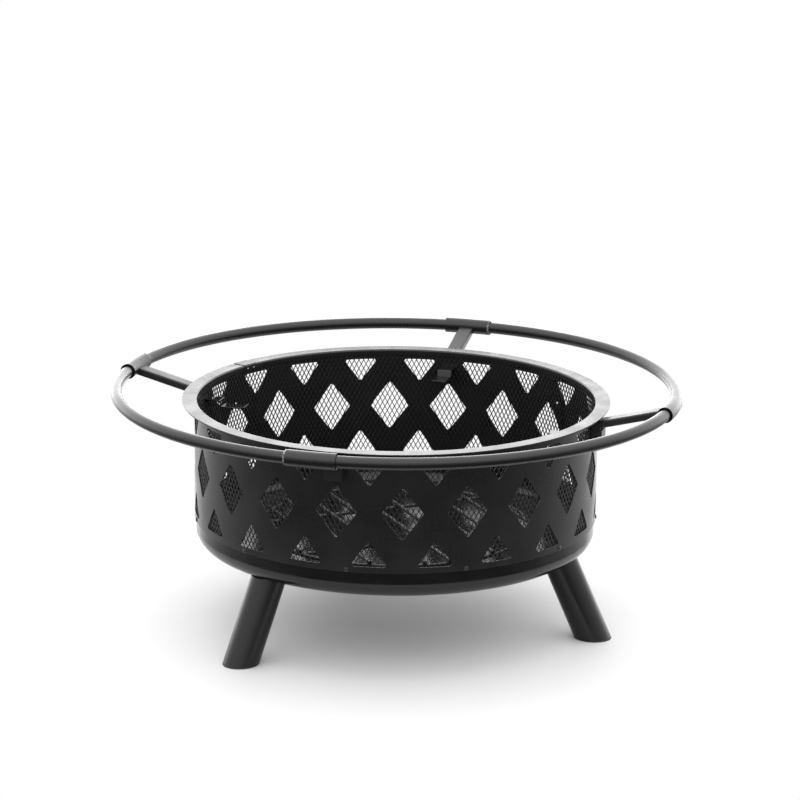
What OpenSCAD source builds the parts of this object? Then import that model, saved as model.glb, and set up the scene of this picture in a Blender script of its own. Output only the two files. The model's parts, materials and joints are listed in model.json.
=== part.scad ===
// Round steel fire pit: pierced wall with mesh liner, base pan on three splayed legs,
// a round guard ring on four arms, grate support tabs, and a lift-out wood grate.
// Origin: on the ground, under the centre of the bowl. The arms lie on +X, +Y, -X and -Y.

/* [Overall] */
// Height of the rim's top face above the ground
rim_z = 370; // [345:1:450]
// Outer radius of the pierced wall
wall_r = 322; // [290:1:390]
// Centreline radius of the guard ring
ring_r = 444.3; // [425:0.1:540]

/* [Pierced wall] */
// Height of the wall, from the rim down
wall_h = 192; // [180:1:235]
// Sheet thickness of the wall
wall_t = 1.5; // [1:0.1:3]
// Number of diamonds round the wall
diamond_n = 20; // [12:1:22]
// Width of a diamond
diamond_w = 65; // [40:1:72]
// How much shorter a diamond is than the space between the two rows of triangle tips
diamond_short = 0.2; // [0:0.1:20]
// How far the diamonds sit above the middle of that space
diamond_raise = 0.2; // [0:0.1:4]
// Width of a triangle's base
triangle_w = 58.4; // [30:0.2:62]
// Height of an upper triangle
upper_h = 38.4; // [25:0.2:42]
// Depth of an upper triangle's base below the rim
upper_drop = 17.2; // [14:0.2:20]
// Height of a lower triangle
lower_h = 41.6; // [25:0.2:43]
// Gap from a lower triangle's base to the wall's bottom edge
lower_margin = 10; // [9:0.5:20]
// Corner radius of the openings
corner_r = 3.5; // [1:0.1:6]

/* [Rim] */
// Width of the rim's flat flange, measured outside the wall
flange_out = 19; // [10:0.5:25]
// Sheet thickness of the rim
rim_t = 2; // [1:0.1:3]
// Height of the rim's inner leg
rim_leg = 10; // [8:0.5:13]
// Inner bend radius of the rim
rim_bend = 1; // [0.5:0.1:2]
// Angle of the rim's lap joint
lap_angle = 156; // [150:1:165]
// Arc that the lap covers
lap_arc = 5; // [3:0.5:8]
// Thickness of the lap
lap_t = 0.8; // [0.5:0.1:1.5]

/* [Mesh liner] */
// Thickness of the expanded mesh
mesh_t = 1.5; // [1:0.1:2]
// Gap between the liner's top edge and the rim's top face
mesh_top_gap = 3; // [3:0.5:8]
// Angle of the screw that holds the liner's lap
mesh_screw_angle = 49; // [46:0.5:52]
// Depth of that screw below the rim
mesh_screw_drop = 55; // [50:0.5:58]
// Shank diameter of that screw
mesh_screw_d = 3.5; // [3:0.5:5]

/* [Base pan] */
// Thickness of the pan
pan_t = 1.5; // [1:0.1:3]
// Height of the pan's collar above the wall's bottom edge
collar_up = 8; // [7:0.5:8.5]
// Depth of the pan's shoulder below the wall's bottom edge
pan_h = 42; // [34:0.5:55]
// Outer bend radius of the shoulder
shoulder_r = 25; // [10:0.5:30]
// Depth of the dish below the shoulder
dish_h = 20; // [8:0.5:30]

/* [Pan bolts] */
// Number of bolts that hold the pan to the wall
pan_bolt_n = 11; // [6:1:16]
// Angle of the first of them
pan_bolt_start = -87.1; // [-100:0.1:-80]
// Shank diameter
pan_bolt_d = 4; // [3:0.5:5]

/* [Guard ring] */
// Outer diameter of the ring's tube
tube_d = 19; // [12:0.5:24]
// Wall of the ring's tube
tube_t = 1.5; // [1:0.1:3]
// Height of the ring's centreline above the rim
ring_up = 15.8; // [9:0.1:25]
// Gap between two tube ends inside a sleeve
tube_gap = 2; // [1:0.5:6]
// Sheet thickness of a sleeve
sleeve_t = 1.75; // [1:0.05:3]
// Radial clearance between a sleeve and the tube
sleeve_gap = 1.4; // [0.2:0.05:1.8]
// Length of a sleeve
sleeve_l = 76; // [50:1:120]
// Width of a weld bead at a sleeve's end
bead_w = 4; // [2:0.5:6]

/* [Arms] */
// Width of an arm
arm_w = 25; // [16:0.5:40]
// Depth of an arm
arm_h = 12; // [8:0.5:16]
// Wall of an arm
arm_t = 1.5; // [1:0.1:2.5]
// Corner radius of an arm
arm_r = 2.5; // [2:0.1:3.5]
// Depth of an arm's top below the rim, where it meets the wall
arm_drop = 12.4; // [12:0.1:16]

/* [Brackets and tabs] */
// Thickness of a bracket's sheet
bracket_t = 1.5; // [1:0.1:3]
// How far a bracket stands out from the wall
bracket_out = 17; // [12:0.5:24]
// Depth of a bracket's bottom edge below the rim
bracket_drop = 45; // [40:0.5:52]
// Sideways play of a grate tab between its bracket's cheeks
tab_play = 1.3; // [0.3:0.1:6]
// Thickness of a grate tab
tab_t = 2; // [1.5:0.1:3]
// Depth of a tab's shelf below the rim
tab_drop = 29; // [28.5:0.5:33]
// Length of a tab's shelf, inside the mesh
shelf_l = 24; // [12:0.5:30]
// Step from the shelf down to the flap
tab_step = 10; // [6:0.5:12]
// Length of a tab's flap
flap_l = 32; // [20:0.5:50]
// Length of the flap's turned-up tip
tip_l = 7; // [3:0.5:12]

/* [Legs] */
// Outer diameter of a leg
leg_d = 55; // [35:1:60]
// Wall of a leg
leg_t = 1.5; // [1:0.1:3]
// Splay of a leg from the vertical
leg_splay = 24.4; // [10:0.1:30]
// Distance from the wall in to a leg's axis, on the height of the pan's shoulder
leg_inset = 53.7; // [45:0.1:80]
// Thickness of a foot cap's sole
sole_t = 2.5; // [1.5:0.1:5]
// Height of a foot cap's plug inside the leg
plug_h = 12; // [6:0.5:20]
// Thickness of the plug's wall
plug_t = 2; // [1:0.1:4]
// Clearance between a plug and its leg
plug_gap = 0.2; // [0.1:0.05:0.5]

/* [Leg plates] */
// Thickness of a leg plate
plate_t = 3; // [2:0.1:5]
// How much narrower a leg plate is than its leg, on each side
plate_inset = 2.5; // [0.5:0.5:5]
// Distance from the bolts to the plate's inner edge
plate_edge = 20; // [12:1:40]
// Distance from a leg's side to its bolts
leg_bolt_gap = 17.8; // [14:0.1:24]
// Distance between a leg's two bolts
leg_bolt_pitch = 28; // [24:1:30]
// Shank diameter of a leg bolt
leg_bolt_d = 6; // [5:0.5:8]

/* [Wood grate] */
// Gap between the ends of the grate's bars and the tips of the tabs
grate_gap = 32; // [10:1:60]
// Diameter of the grate's rods
rod_d = 6; // [4:0.5:10]
// Height of the grate ring's centreline above the wall's bottom edge, negative below it
grate_z = -22; // [-26:0.5:-5]
// Distance between bars
bar_pitch = 40; // [25:1:60]
// Direction of the bars, from +X
bar_angle = 129; // [90:1:180]
// Distance of each cross bar from the centre
cross_bar_at = 90; // [50:1:140]
// Number of feet under the grate
grate_foot_n = 4; // [3:1:6]
// Clearance under the feet
foot_gap = 0.3; // [0.1:0.1:1]

/* [Hidden] */
$fn = 96;
eps = 0.01;

// Angles of the legs
leg_n = 3;
LEGS = around(leg_n);

// Angles of the arms, and the side on which each sleeve is welded to a tube
FRONT = -90;
RIGHT = 0;
BACK = 90;
LEFT = 180;
ARMS = [FRONT, RIGHT, BACK, LEFT];
weld_side = [-1, 1, -1, -1];

// Heights and radii worked out from the sizes above
wall_bottom = rim_z - wall_h;
wall_in_r = wall_r - wall_t;
mesh_in_r = wall_in_r - mesh_t;
mesh_bottom = wall_bottom + collar_up + 1;
leg_in_r = mesh_in_r - rim_t;
flange_r = wall_r + flange_out;
ring_z = rim_z + ring_up;
sleeve_in_d = tube_d + 2 * sleeve_gap;
sleeve_d = sleeve_in_d + 2 * sleeve_t;
sleeve_arc = arc(sleeve_l, ring_r);
bead_step = 1;

// The diamonds fill the space between the tips of the two rows of triangles
upper_tip = rim_z - upper_drop - upper_h;
lower_tip = wall_bottom + lower_margin + lower_h;
diamond_h = upper_tip - lower_tip - diamond_short;
diamond_z = (upper_tip + lower_tip) / 2 + diamond_raise;

// The arm runs from the wall to the sleeve's inner side
arm_start_z = rim_z - arm_drop;
arm_end_r = ring_r - sleeve_d / 2;
arm_tilt = atan2(ring_z - arm_start_z, arm_end_r - wall_r);

// The dish is part of a large sphere through the shoulder's lowest edge
pan_r = wall_in_r;
pan_bottom = wall_bottom - pan_h;
dish_edge_r = pan_r - shoulder_r;
dish_r = (pow(dish_edge_r, 2) + pow(dish_h, 2)) / (2 * dish_h);
dish_c = pan_bottom - dish_h + dish_r;

// The leg's axis on the height of the shoulder and on the ground
leg_top_r = wall_r - leg_inset;
foot_r = leg_top_r + pan_bottom * tan(leg_splay);

// The plate lies on the dish, under the leg and its two bolts
leg_bolt_r = leg_top_r - leg_d / 2 / cos(leg_splay) - leg_bolt_gap;
bolt_circle_r = norm([leg_bolt_r, leg_bolt_pitch / 2]);
plate_w = leg_d - 2 * plate_inset;
plate_in_r = leg_bolt_r - plate_edge;
plate_out_r = dish_edge_r;

// Bracket and tab
cheek_gap = 0.3;
bracket_w = arm_w + cheek_gap + 2 * bracket_t;
tab_w = arm_w + cheek_gap - tab_play;
bracket_r = wall_r + bracket_out;
tab_z = rim_z - tab_drop;
slot_gap = 0.3;
shelf_end_r = mesh_in_r - shelf_l;
step_run = 3;
tip_rise = 1.5;
flap_end_r = shelf_end_r - step_run - flap_l;
tip_end_r = flap_end_r - tip_l;

// Screws, bolts and rivets: heads and nuts are a multiple of the shank's diameter
pan_bolt_z = wall_bottom + collar_up / 2;
head_ratio = 2;
nut_ratio = 1.8;
nut_h_ratio = 0.8;
bolt_gap = 0.2;
pan_nut_gap = 0.3;
pan_nut_r = pan_r - pan_t - pan_nut_gap - nut_h_ratio * pan_bolt_d;
shank_past_nut = 2.5;
leg_head_h = 3.5;
leg_shank = 18;
washer_t = 1.2;
mesh_screw_head_h = 2;
mesh_screw_past_wall = 1;
rivet_d = 1.5;
rivet_head_h = 1;
rivet_z = rim_z - rim_leg / 2 - rivet_head_h;

// A leg bolt's head touches the dish at its outer edge, and its washer the plate at its inner edge
bolt_seat_z = dish_z(bolt_circle_r + head_ratio * leg_bolt_d / 2, pan_t);
washer_drop = bolt_seat_z - dish_z(bolt_circle_r - leg_bolt_d, -plate_t) + washer_t;

// How far a cutter or a raw length reaches past what is cut, on each side
through = 20;

// Wood grate
grate_ring_z = wall_bottom + grate_z;
bar_z = grate_ring_z + rod_d;
bar_end = 4;
grate_r = tip_end_r - grate_gap - bar_end;
bar_count = floor((grate_r - rod_d) / bar_pitch);
grate_foot_start = 45;

// Length along a circle to the angle that it covers
function arc(length, r) = length / (PI * r) * 180;

// Height of the dish's outer skin at radius r, with the skin moved in by t
function dish_z(r, t = 0) = dish_c - sqrt(pow(dish_r - t, 2) - pow(r, 2));

// Angles of n copies, evenly round the circle
function around(n, start = 0) = [for (i = [0 : n - 1]) start + i * 360 / n];

// Direction in which the edge from a to b faces, going anticlockwise
function facing_of(a, b) = atan2(a.x - b.x, b.y - a.y);

// Angle from one direction round to the next, anticlockwise
function turn(a, b) = (b - a + 360) % 360;

// Outline round corner centres c (anticlockwise), with its corners rounded to radius r
function rounded(c, r, steps = 4) = [
    for (i = [0 : len(c) - 1])
        let (before = c[(i + len(c) - 1) % len(c)], after = c[(i + 1) % len(c)])
        let (start = facing_of(before, c[i]), swing = turn(start, facing_of(c[i], after)))
        for (k = [0 : steps])
            let (a = start + swing * k / steps) c[i] + r * [cos(a), sin(a)]
];

module rounded_box(w, h, r) {
    square([w, h - 2 * r], center = true);
    square([w - 2 * r, h], center = true);
    for (x = [-1, 1], y = [-1, 1]) translate([x * (w / 2 - r), y * (h / 2 - r)]) circle(r);
}

// Turns a flat outline to face outwards at an angle, with its up along +Z
module facing(angle, r, z) {
    rotate([0, 0, angle]) translate([r, 0, z]) rotate([90, 0, 90]) children();
}

module shell(r_out, t, z0, z1) {
    translate([0, 0, z0]) difference() {
        cylinder(r = r_out, h = z1 - z0, $fn = 240);
        translate([0, 0, -eps]) cylinder(r = r_out - t, h = z1 - z0 + 2 * eps, $fn = 240);
    }
}

// Part of the ring of tube between two angles
module bent_tube(d_out, d_in, a0, a1) {
    rotate([0, 0, a0]) translate([0, 0, ring_z]) rotate_extrude(angle = a1 - a0, $fn = 240)
        translate([ring_r, 0]) difference() {
            circle(d = d_out, $fn = 48);
            circle(d = d_in, $fn = 48);
        }
}

module diamond() {
    a = diamond_w / 2 - corner_r;
    b = diamond_h / 2 - corner_r;
    polygon(rounded([[a, 0], [0, b], [-a, 0], [0, -b]], corner_r));
}

module triangle_up(h) {
    a = triangle_w / 2 - corner_r;
    polygon(rounded([[a, corner_r], [0, h - corner_r], [-a, corner_r]], corner_r));
}

// Flat outline cut through the wall and everything against it
module cut_out(angle, z) {
    facing(angle, wall_r - through, z) linear_extrude(2 * through) children();
}

module round_hole(angle, z, d) {
    cut_out(angle, z) circle(d = d, $fn = 24);
}

// Slot in the wall and liner for a grate tab
module tab_slots() {
    slot = [tab_w + 2 * slot_gap, tab_t + 2 * slot_gap];
    for (a = ARMS) cut_out(a, tab_z) translate([-slot.x / 2, -slot_gap]) square(slot);
}

module pan_bolt_holes() {
    for (a = around(pan_bolt_n, pan_bolt_start)) round_hole(a, pan_bolt_z, pan_bolt_d + 2 * bolt_gap);
}

module mesh_screw_hole() {
    round_hole(mesh_screw_angle, rim_z - mesh_screw_drop, mesh_screw_d + 2 * bolt_gap);
}

module rivet_holes() {
    for (side = [-1, 1]) round_hole(lap_angle + side * lap_arc / 4, rivet_z, rivet_d + 2 * bolt_gap);
}

module leg_bolt_holes() {
    leg_bolt_places() translate([0, 0, -through])
        cylinder(d = leg_bolt_d + 2 * bolt_gap, h = 2 * through, $fn = 32);
}

module pierced_wall() {
    color("#262626") difference() {
        shell(wall_r, wall_t, wall_bottom, rim_z - rim_t);
        for (a = around(diamond_n)) {
            cut_out(a, diamond_z) diamond();
            cut_out(a + 180 / diamond_n, wall_bottom + lower_margin) triangle_up(lower_h);
            cut_out(a + 180 / diamond_n, rim_z - upper_drop) mirror([0, 1]) triangle_up(upper_h);
        }
        tab_slots();
        pan_bolt_holes();
        mesh_screw_hole();
    }
}

// Flat flange outside, short leg inside the mesh, rounded where it bends
module rim_ring() {
    bend_r = rim_bend + rim_t;
    color("#2b2b2b") difference() {
        translate([0, 0, rim_z]) rotate_extrude($fn = 240) {
            translate([leg_in_r + bend_r, -rim_t]) square([flange_r - leg_in_r - bend_r, rim_t]);
            translate([leg_in_r, -rim_leg]) square([rim_t, rim_leg - bend_r]);
            translate([leg_in_r + bend_r, -bend_r]) intersection() {
                difference() {
                    circle(bend_r);
                    circle(rim_bend);
                }
                translate([-bend_r, 0]) square(bend_r);
            }
        }
        rivet_holes();
    }
}

// The end of the rim's strip, lying over its start
module rim_lap() {
    bend_r = rim_bend + rim_t + lap_t;
    lap_in_r = leg_in_r - lap_t;
    color("#2b2b2b") difference() {
        rotate([0, 0, lap_angle - lap_arc / 2]) translate([0, 0, rim_z])
            rotate_extrude(angle = lap_arc, $fn = 240) {
                translate([lap_in_r + bend_r, 0]) square([flange_r - lap_in_r - bend_r, lap_t]);
                translate([lap_in_r, -rim_leg]) square([lap_t, rim_leg + lap_t - bend_r]);
                translate([lap_in_r + bend_r, lap_t - bend_r]) intersection() {
                    difference() {
                        circle(bend_r);
                        circle(bend_r - lap_t);
                    }
                    translate([-bend_r, 0]) square(bend_r);
                }
            }
        rivet_holes();
    }
}

// Two rivets with their heads on the lap's inner leg and their shanks through lap and rim
module rim_rivets() {
    seat_r = leg_in_r - lap_t;
    for (side = [-1, 1]) color("#555555")
        facing(lap_angle + side * lap_arc / 4, seat_r - rivet_head_h, rivet_z) {
            cylinder(d = head_ratio * rivet_d, h = rivet_head_h, $fn = 24);
            cylinder(d = rivet_d, h = rivet_head_h + lap_t + rim_t, $fn = 24);
        }
}

// Closed skin with the mesh's place and thickness
module mesh_liner() {
    color("#303030") difference() {
        shell(wall_in_r, mesh_t, mesh_bottom, rim_z - mesh_top_gap);
        tab_slots();
        mesh_screw_hole();
    }
}

// Round head on the mesh, with its shank through mesh and wall
module mesh_screw() {
    head_r = head_ratio * mesh_screw_d / 2;
    // The flat head touches the curved mesh at its outer edge
    seat_r = sqrt(pow(mesh_in_r, 2) - pow(head_r, 2)) - mesh_screw_head_h;
    color("#6a6a6a")
        facing(mesh_screw_angle, seat_r, rim_z - mesh_screw_drop) {
            cylinder(r = head_r, h = mesh_screw_head_h, $fn = 32);
            cylinder(d = mesh_screw_d, h = wall_r + mesh_screw_past_wall - seat_r, $fn = 24);
        }
}

// Collar, rounded shoulder and shallow dish
module base_pan() {
    color("#232323") difference() {
        rotate_extrude($fn = 240) {
            translate([pan_r - pan_t, pan_bottom + shoulder_r])
                square([pan_t, pan_h + collar_up - shoulder_r]);
            translate([dish_edge_r, pan_bottom + shoulder_r]) intersection() {
                difference() {
                    circle(shoulder_r);
                    circle(shoulder_r - pan_t);
                }
                translate([0, -shoulder_r]) square(shoulder_r);
            }
            intersection() {
                translate([0, dish_c]) difference() {
                    circle(dish_r, $fn = 720);
                    circle(dish_r - pan_t, $fn = 720);
                }
                translate([0, pan_bottom - 2 * dish_h]) square([dish_edge_r, 2 * dish_h + pan_t]);
            }
        }
        pan_bolt_holes();
        leg_bolt_holes();
    }
}

// Round heads outside the wall, with their shanks through the wall and the collar
module pan_bolts() {
    head_h = pan_bolt_d / 2;
    shank_r = pan_nut_r - shank_past_nut;
    for (a = around(pan_bolt_n, pan_bolt_start)) color("#4a4a4a") {
        facing(a, shank_r, pan_bolt_z) cylinder(d = pan_bolt_d, h = wall_r - shank_r + eps, $fn = 24);
        facing(a, wall_r, pan_bolt_z) cylinder(d = head_ratio * pan_bolt_d, h = head_h, $fn = 24);
    }
}

// Hexagon nut for a shank of diameter d, standing on the ground
module nut(d) {
    height = nut_h_ratio * d;
    difference() {
        cylinder(d = nut_ratio * d, h = height, $fn = 6);
        translate([0, 0, -eps]) cylinder(d = d, h = height + 2 * eps, $fn = 24);
    }
}

module pan_nuts() {
    for (a = around(pan_bolt_n, pan_bolt_start)) color("#4a4a4a")
        facing(a, pan_nut_r, pan_bolt_z) nut(pan_bolt_d);
}

// A quarter of the guard ring; its ends lie inside two sleeves
module ring_tube(start) {
    half_gap = arc(tube_gap, ring_r) / 2;
    color("#222222") bent_tube(tube_d, tube_d - 2 * tube_t, start + half_gap, start + 90 - half_gap);
}

module sleeve(angle) {
    color("#262626") bent_tube(sleeve_d, sleeve_in_d, angle - sleeve_arc / 2, angle + sleeve_arc / 2);
}

// One bead for each sleeve, against the end that is welded to its tube
module sleeve_welds() {
    bead_arc = arc(bead_w, ring_r);
    bead_d = sleeve_d - bead_step;
    for (i = [0 : len(ARMS) - 1]) {
        middle = ARMS[i] + weld_side[i] * (sleeve_arc + bead_arc) / 2;
        color("#3a3a3a") bent_tube(bead_d, tube_d, middle - bead_arc / 2, middle + bead_arc / 2);
    }
}

// Flat tube from the wall up to the sleeve, cut to fit both
module arm(angle) {
    length = norm([arm_end_r - wall_r, ring_z - arm_start_z]) + 2 * through;
    color("#3c3c3c") difference() {
        rotate([0, 0, angle]) translate([wall_r, 0, arm_start_z]) rotate([0, -arm_tilt, 0])
            translate([-through, 0, -arm_h / 2]) rotate([90, 0, 90]) linear_extrude(length)
                difference() {
                    rounded_box(arm_w, arm_h, arm_r);
                    rounded_box(arm_w - 2 * arm_t, arm_h - 2 * arm_t, arm_r - arm_t);
                }
        translate([0, 0, arm_start_z - 2 * through]) cylinder(r = wall_r, h = 4 * through, $fn = 240);
        translate([0, 0, ring_z]) rotate_extrude($fn = 240) translate([ring_r, 0]) {
            circle(d = sleeve_d, $fn = 48);
            translate([0, -2 * through]) square([2 * through, 4 * through]);
            translate([-sleeve_d, 0]) square([sleeve_d + 2 * through, 2 * through]);
        }
    }
}

// Sheet channel on the wall under the arm: two cheeks and an outer face
module bracket(angle) {
    bottom = rim_z - bracket_drop;
    face_top = arm_start_z - arm_h / cos(arm_tilt);
    color("#2a2a2a") difference() {
        rotate([0, 0, angle]) {
            translate([wall_r - through, 0, bottom]) for (side = [0, 1]) mirror([0, side, 0])
                translate([0, bracket_w / 2 - bracket_t, 0])
                    cube([bracket_out + through - bracket_t, bracket_t, arm_start_z - bottom]);
            translate([bracket_r - bracket_t, -bracket_w / 2, bottom])
                cube([bracket_t, bracket_w, face_top - bottom]);
        }
        translate([0, 0, bottom - eps]) cylinder(r = wall_r, h = bracket_drop, $fn = 240);
    }
}

// Strip along a path of points, with round bends
module strip(path, t) {
    for (i = [0 : len(path) - 2]) {
        d = path[i + 1] - path[i];
        translate(path[i]) rotate(atan2(d.y, d.x)) translate([0, -t / 2]) square([norm(d), t]);
    }
    for (i = [1 : len(path) - 2]) translate(path[i]) circle(d = t, $fn = 24);
}

// Bent strip through the wall: shelf, step, flap and a turned-up tip
module grate_tab(angle) {
    mid = tab_z + tab_t / 2;
    flap_z = mid - tab_step;
    color("#8a8a8a") rotate([0, 0, angle]) rotate([90, 0, 0]) linear_extrude(tab_w, center = true)
        strip([
            [bracket_r - bracket_t, mid], [shelf_end_r, mid], [shelf_end_r - step_run, flap_z],
            [flap_end_r, flap_z], [tip_end_r, flap_z + tip_rise]
        ], tab_t);
}

// Solid round bar along a leg's axis
module leg_core(angle, d) {
    rotate([0, 0, angle]) translate([foot_r, 0, 0]) rotate([0, -leg_splay, 0])
        translate([0, 0, -leg_d]) cylinder(d = d, h = 2 * pan_bottom + leg_d, $fn = 96);
}

module leg(angle) {
    color("#202020") difference() {
        leg_core(angle, leg_d);
        leg_core(angle, leg_d - 2 * leg_t);
        translate([0, 0, sole_t - 4 * leg_d]) cylinder(r = foot_r + 2 * leg_d, h = 4 * leg_d);
        translate([0, 0, dish_c]) sphere(r = dish_r + plate_t, $fn = 720);
    }
}

// Plate that follows the dish, between the pan and the leg
module leg_plate(angle) {
    color("#2a2a2a") difference() {
        rotate([0, 0, angle]) translate([plate_in_r, -plate_w / 2, pan_bottom - dish_h - through])
            cube([plate_out_r - plate_in_r, plate_w, dish_h + 2 * through]);
        translate([0, 0, dish_c]) sphere(r = dish_r, $fn = 720);
        translate([0, 0, dish_c]) difference() {
            cylinder(r = 2 * foot_r, h = 4 * dish_r, center = true);
            sphere(r = dish_r + plate_t, $fn = 720);
        }
        leg_bolt_holes();
    }
}

// Sole under the leg's end, with a hollow plug inside it
module foot_cap(angle) {
    color("#1a1a1a") {
        intersection() {
            leg_core(angle, leg_d);
            cylinder(r = foot_r + 2 * leg_d, h = sole_t);
        }
        difference() {
            intersection() {
                leg_core(angle, leg_d - 2 * leg_t - 2 * plug_gap);
                translate([0, 0, sole_t - eps]) cylinder(r = foot_r + 2 * leg_d, h = plug_h + eps);
            }
            leg_core(angle, leg_d - 2 * leg_t - 2 * plug_gap - 2 * plug_t);
        }
    }
}

// Places of the leg bolts, at the underside of their heads
module leg_bolt_places() {
    for (a = LEGS, side = [-1, 1])
        rotate([0, 0, a]) translate([leg_bolt_r, side * leg_bolt_pitch / 2, bolt_seat_z]) children();
}

module leg_bolts() {
    leg_bolt_places() color("#5a5a5a") {
        cylinder(d = head_ratio * leg_bolt_d, h = leg_head_h, $fn = 32);
        translate([0, 0, -leg_shank]) cylinder(d = leg_bolt_d, h = leg_shank + eps, $fn = 32);
    }
}

module leg_washers() {
    leg_bolt_places() color("#6a6a6a") translate([0, 0, -washer_drop]) difference() {
        cylinder(r = leg_bolt_d, h = washer_t, $fn = 32);
        translate([0, 0, -eps]) cylinder(d = leg_bolt_d + 2 * bolt_gap, h = washer_t + 2 * eps, $fn = 32);
    }
}

module leg_nuts() {
    leg_bolt_places() color("#5a5a5a") translate([0, 0, -washer_drop - nut_h_ratio * leg_bolt_d])
        nut(leg_bolt_d);
}

module wood_grate_ring() {
    color("#333333") translate([0, 0, grate_ring_z]) rotate_extrude($fn = 180)
        translate([grate_r, 0]) circle(d = rod_d, $fn = 32);
}

// Rod across a circle of radius r, at distance off from its centre
module chord_rod(r, off, z, angle) {
    half = sqrt(pow(r, 2) - pow(off, 2));
    rotate([0, 0, angle]) translate([-half, off, z]) rotate([0, 90, 0])
        cylinder(d = rod_d, h = 2 * half, $fn = 32);
}

module wood_grate_bars() {
    for (i = [-bar_count : bar_count]) color("#3a3a3a")
        chord_rod(grate_r + bar_end, i * bar_pitch, bar_z, bar_angle);
}

// Two rods under the bars, in the plane of the ring and butted against its inside
module wood_grate_cross_bars() {
    color("#3a3a3a") intersection() {
        for (side = [-1, 1]) chord_rod(grate_r, side * cross_bar_at, grate_ring_z, bar_angle + 90);
        translate([0, 0, grate_ring_z - rod_d]) cylinder(r = grate_r - rod_d / 2, h = 2 * rod_d, $fn = 180);
    }
}

// Short rods from the ring down to the pan
module wood_grate_feet() {
    low = dish_z(grate_r + rod_d / 2, pan_t) + foot_gap;
    for (a = around(grate_foot_n, grate_foot_start)) color("#3a3a3a")
        rotate([0, 0, a]) translate([grate_r, 0, low])
            cylinder(d = rod_d, h = grate_ring_z - rod_d / 2 - low, $fn = 32);
}

pierced_wall();
rim_ring();
rim_lap();
rim_rivets();
mesh_liner();
mesh_screw();
base_pan();
pan_bolts();
pan_nuts();
ring_tube(FRONT);  // ring_tube_front_right
ring_tube(RIGHT);  // ring_tube_back_right
ring_tube(BACK);  // ring_tube_back_left
ring_tube(LEFT);  // ring_tube_front_left
sleeve(FRONT);  // sleeve_front
sleeve(RIGHT);  // sleeve_right
sleeve(BACK);  // sleeve_back
sleeve(LEFT);  // sleeve_left
sleeve_welds();
arm(FRONT);  // arm_front
arm(RIGHT);  // arm_right
arm(BACK);  // arm_back
arm(LEFT);  // arm_left
bracket(FRONT);  // bracket_front
bracket(RIGHT);  // bracket_right
bracket(BACK);  // bracket_back
bracket(LEFT);  // bracket_left
grate_tab(FRONT);  // grate_tab_front
grate_tab(RIGHT);  // grate_tab_right
grate_tab(BACK);  // grate_tab_back
grate_tab(LEFT);  // grate_tab_left
leg(LEGS[0]);  // leg_right
leg(LEGS[1]);  // leg_back
leg(LEGS[2]);  // leg_front
leg_plate(LEGS[0]);  // leg_plate_right
leg_plate(LEGS[1]);  // leg_plate_back
leg_plate(LEGS[2]);  // leg_plate_front
foot_cap(LEGS[0]);  // foot_cap_right
foot_cap(LEGS[1]);  // foot_cap_back
foot_cap(LEGS[2]);  // foot_cap_front
leg_bolts();
leg_washers();
leg_nuts();
wood_grate_ring();
wood_grate_bars();
wood_grate_cross_bars();
wood_grate_feet();
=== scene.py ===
# %% [markdown]
# # A pierced steel fire pit with a guard ring
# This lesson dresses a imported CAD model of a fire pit. The CAD holds every size and every joint;
# here the sheet gets rounded edges, the mesh liner gets its thousands of strands, the welds get
# their ripples, and each steel part gets its own black stove paint.

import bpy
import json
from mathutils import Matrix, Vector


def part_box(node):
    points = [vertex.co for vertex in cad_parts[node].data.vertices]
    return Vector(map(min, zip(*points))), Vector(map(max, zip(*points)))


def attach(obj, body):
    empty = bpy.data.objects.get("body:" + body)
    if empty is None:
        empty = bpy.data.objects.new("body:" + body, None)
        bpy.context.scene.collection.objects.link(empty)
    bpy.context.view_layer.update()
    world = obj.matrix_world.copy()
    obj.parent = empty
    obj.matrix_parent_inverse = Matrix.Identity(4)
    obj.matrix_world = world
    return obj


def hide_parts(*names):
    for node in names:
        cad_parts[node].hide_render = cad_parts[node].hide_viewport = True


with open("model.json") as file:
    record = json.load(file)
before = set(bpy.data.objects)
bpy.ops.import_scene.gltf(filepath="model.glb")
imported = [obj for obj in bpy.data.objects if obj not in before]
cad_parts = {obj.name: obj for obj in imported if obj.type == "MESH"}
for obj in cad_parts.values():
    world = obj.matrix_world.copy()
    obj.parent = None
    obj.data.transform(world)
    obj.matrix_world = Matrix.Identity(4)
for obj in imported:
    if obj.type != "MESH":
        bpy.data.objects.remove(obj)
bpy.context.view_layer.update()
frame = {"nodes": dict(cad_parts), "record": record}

# %% [markdown]
# ## Tools
# Meshes are built with bmesh, which edits points, edges and faces directly. The ripples and the
# uneven band come from Blender's own noise. Its vector noise takes its offsets from the clock
# unless it is given a seed, so it gets one: then every run makes the same beads.

# %% Tools that the later cells use
import json
import math

import bmesh
import bpy
from mathutils import Matrix, Vector, noise

MM = 0.001
FULL = 2 * math.pi
CLOSE = 0.01 * MM
HAIR = 0.001 * MM
SEAM = 0.02 * MM
Z_AXIS = (0, 0, 1)
CENTRE = (0, 0, 0)
NOISE_SEED = 4
noise.seed_set(NOISE_SEED)
print("Blender", bpy.app.version_string)

# %% [markdown]
# ## Sizes
# Everything is placed from the boxes of the CAD nodes, so the lesson follows the model when the
# model changes. What a box can't say, such as a sheet's thickness, is written here once.

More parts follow.
